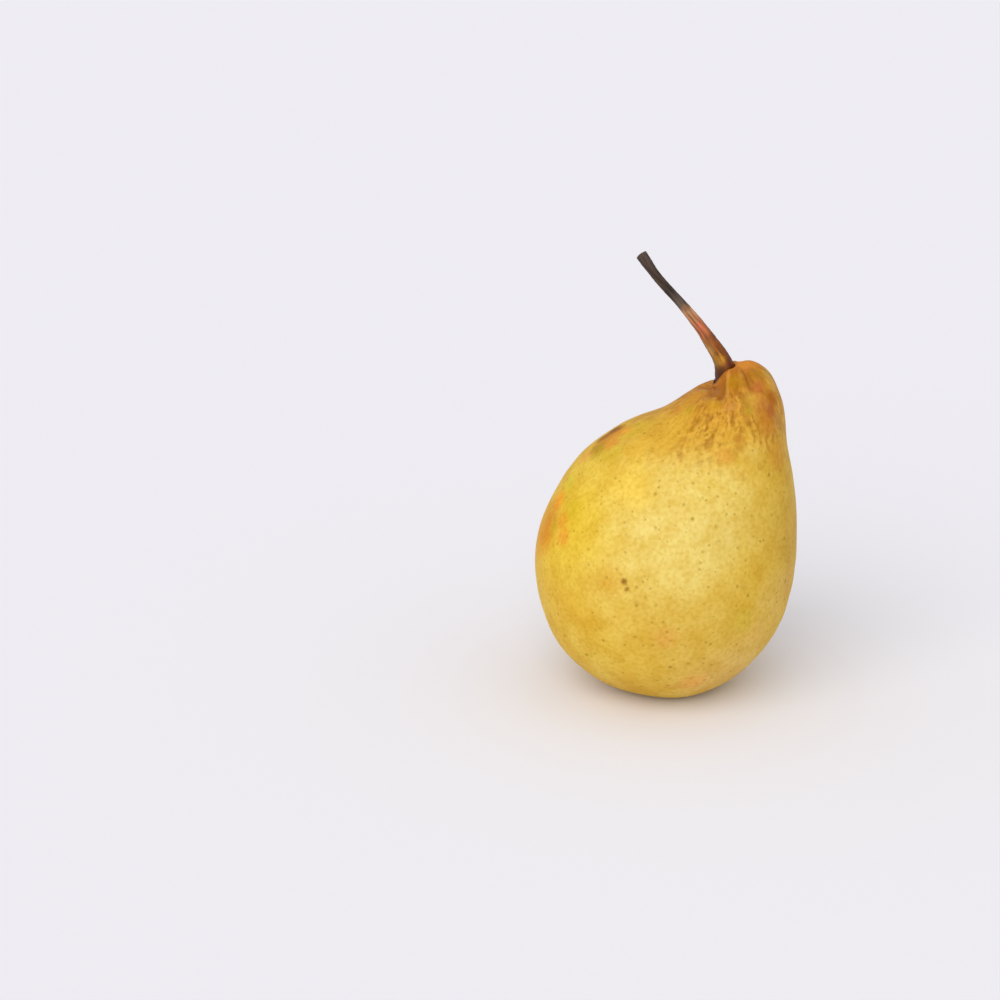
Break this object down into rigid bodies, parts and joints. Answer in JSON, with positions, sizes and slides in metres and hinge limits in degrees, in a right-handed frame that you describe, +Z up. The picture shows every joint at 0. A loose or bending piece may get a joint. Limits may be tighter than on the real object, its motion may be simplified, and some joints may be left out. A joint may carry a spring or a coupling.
{
  "type": "pear",
  "caption": "Whole ripe yellow pear with a leaning woody stem, standing on the flat ring round its calyx basin.",
  "frame": {"origin": "under the middle of the fruit, on the surface that it rests on", "axes": "+Z up; +X towards the bulge of the head beside the stem, and the stem leans towards -X; the face towards -Y is the front"},
  "size_m": [0.0702, 0.0686, 0.1202],
  "materials": {
    "pear_skin": "thin waxy fruit skin, golden yellow with fine brown pores, russet orange round the stem",
    "stem_bark": "smooth reddish brown at the foot, dull grey brown bark towards the cut end",
    "calyx_cork": "dry, rough, dark brown cork"
  },
  "bodies": {
    "root": {"pear_body": "pear_skin", "stem": "stem_bark", "calyx_scar": "calyx_cork"}
  },
  "joints": []
}
